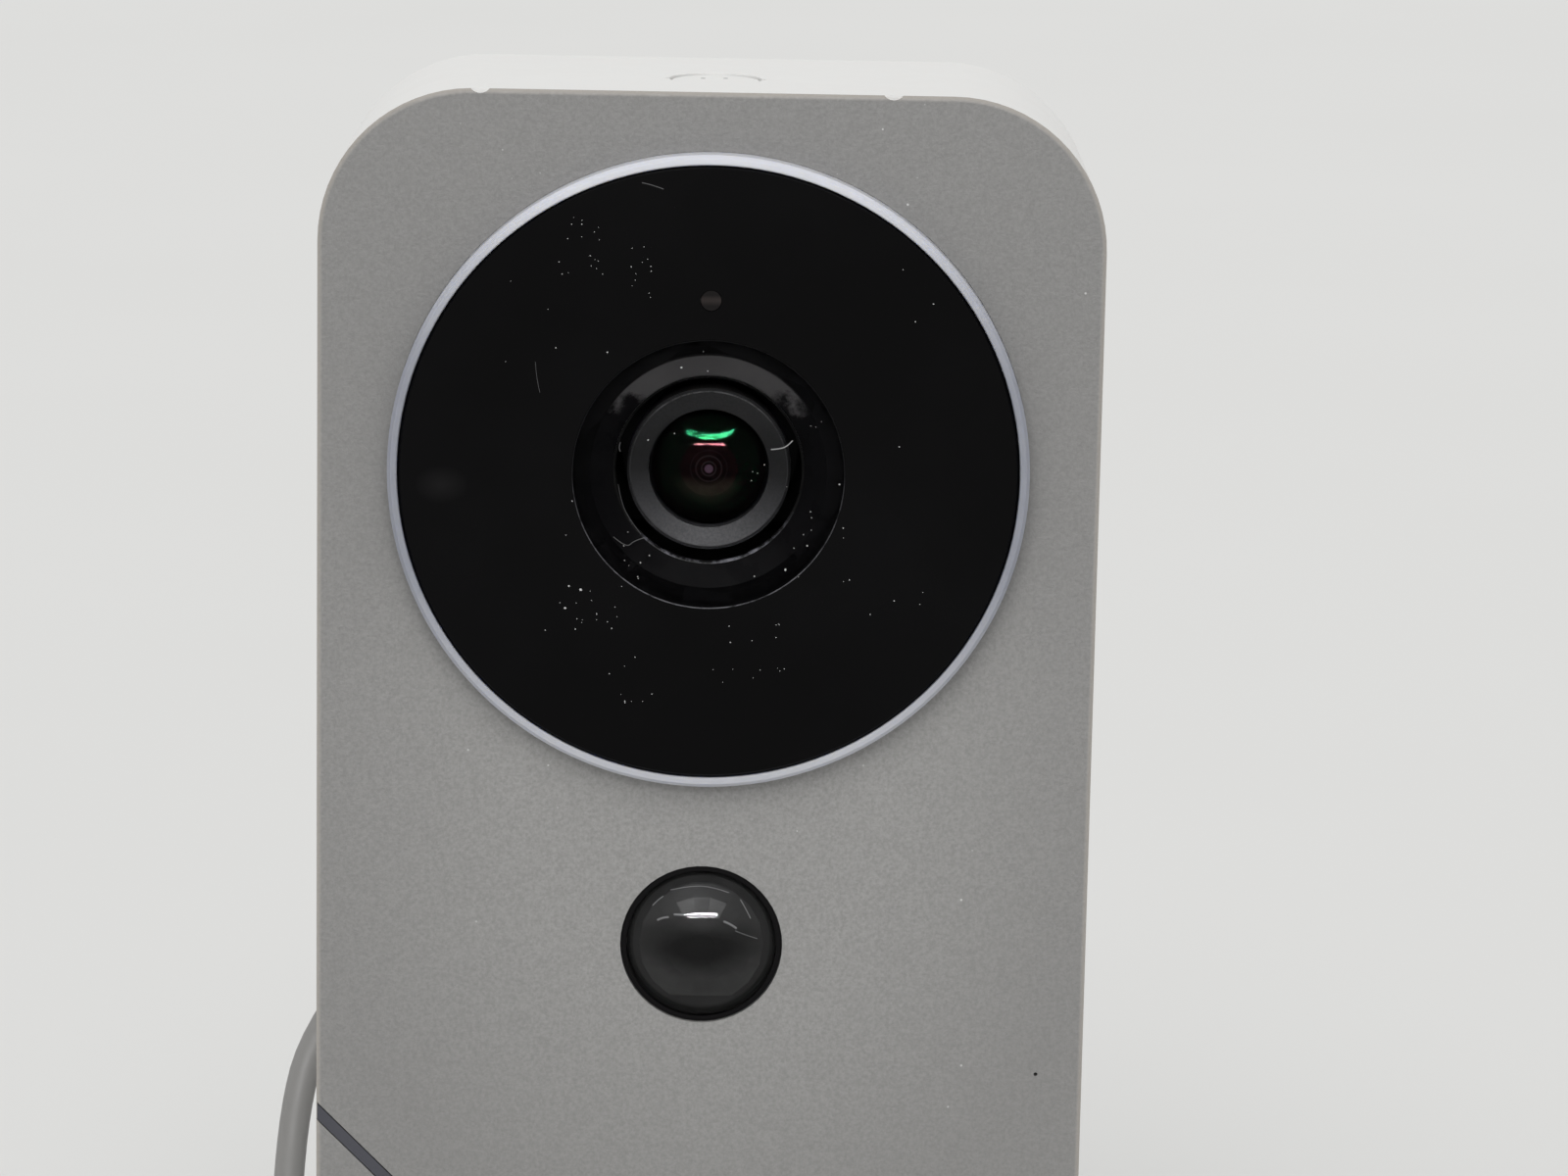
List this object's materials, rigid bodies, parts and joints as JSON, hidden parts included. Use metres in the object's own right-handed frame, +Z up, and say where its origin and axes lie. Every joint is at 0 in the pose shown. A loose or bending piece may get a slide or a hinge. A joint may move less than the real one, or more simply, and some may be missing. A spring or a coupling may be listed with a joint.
{
  "type": "indoor security camera",
  "caption": "Upright home security camera with a flat grey front, round black lens window in a pale ring, motion dome, tilting round stand and a coiled USB lead",
  "frame": {"origin": "centre of the stand's underside, on the surface it stands on", "axes": "+Z up; the camera's front faces -Y; +X is to the right of someone who looks at its front; metres"},
  "size_m": [0.1099, 0.1271, 0.138],
  "materials": {
    "cover_grey": "fine-grained matt grey moulding",
    "shell_white": "satin white moulding",
    "black_glass": "gloss black, printed behind",
    "clear_glass": "clear and polished",
    "ring_white": "milky translucent, satin",
    "trim_black": "matt black",
    "barrel_black": "black anodised",
    "lens_glass": "coated and polished",
    "winding": "copper wire and bobbin",
    "filter_glass": "thin coated glass",
    "chip_black": "moulded chip",
    "board_green": "printed circuit board",
    "lamp_white": "lamp body",
    "lamp_dark": "infrared lamp",
    "dome_smoke": "smoky black, faceted inside",
    "tin": "bright tinned steel",
    "strip_smoke": "smoky blue-grey",
    "frame_black": "black moulding",
    "steel": "zinc-plated steel",
    "aluminium": "bare sheet",
    "soft_black": "soft black rubber",
    "speaker_black": "paper cone and black basket",
    "foot_silicone": "soft grey silicone",
    "cord_grey": "satin light-grey jacket"
  },
  "bodies": {
    "stand": {"neck": "shell_white", "neck_spacer": "shell_white", "neck_screws": "steel", "base_shell": "shell_white", "base_plate": "shell_white", "base_ballast": "steel", "base_foot_ring": "foot_silicone", "cord_free": "cord_grey", "cord_coil": "cord_grey", "cord_tail": "cord_grey", "cord_tie": "soft_black", "cord_usb_plug": "cord_grey", "friction_washers": "steel"},
    "head": {"front_cover": "cover_grey", "rear_housing": "shell_white", "cover_glass": "black_glass", "lens_window": "clear_glass", "light_ring": "ring_white", "lens_trim_cone": "trim_black", "lens_barrel": "barrel_black", "front_lens": "lens_glass", "inner_lenses": "lens_glass", "lens_holder": "trim_black", "filter_drive": "winding", "image_sensor": "chip_black", "sensor_board": "board_green", "ring_light_board": "board_green", "ring_lamps": "lamp_white", "infrared_lamps": "lamp_dark", "light_sensor": "lamp_dark", "motion_dome": "dome_smoke", "motion_dome_rim": "trim_black", "motion_sensor": "tin", "motion_sensor_board": "board_green", "accent_strip": "strip_smoke", "accent_lamps": "lamp_white", "inner_frame": "frame_black", "frame_screws": "steel", "main_board": "board_green", "shield_can": "tin", "heat_spreader": "aluminium", "microphone": "tin", "microphone_boot": "soft_black", "antenna": "board_green", "speaker": "speaker_black", "speaker_gasket": "soft_black", "speaker_grille": "shell_white", "usb_socket": "tin", "reset_switch": "chip_black", "button_board": "board_green", "button_switch": "chip_black", "pivot_yoke": "steel", "yoke_screws": "steel", "hinge_pin": "steel", "cord_camera_plug": "cord_grey", "cord_strain_relief": "cord_grey"},
    "button": {"top_button": "shell_white"},
    "filter_shuttle": {"filter_carrier": "trim_black", "cut_filters": "filter_glass"}
  },
  "joints": [
    {"name": "head_tilt", "type": "hinge", "parent": "stand", "child": "head", "pos_m": [0, 0, 0.024], "axis": [1, 0, 0], "range_deg": [-20, 20], "deforming": ["cord_free"]},
    {"name": "button_press", "type": "slide", "parent": "head", "child": "button", "axis": [0, 0, -1], "range_m": [0, 0.0006], "stiffness_N_per_m": 1500, "springref_m": -0.0002},
    {"name": "filter_slide", "type": "slide", "parent": "head", "child": "filter_shuttle", "axis": [1, 0, 0], "range_m": [0, 0.0065]}
  ]
}
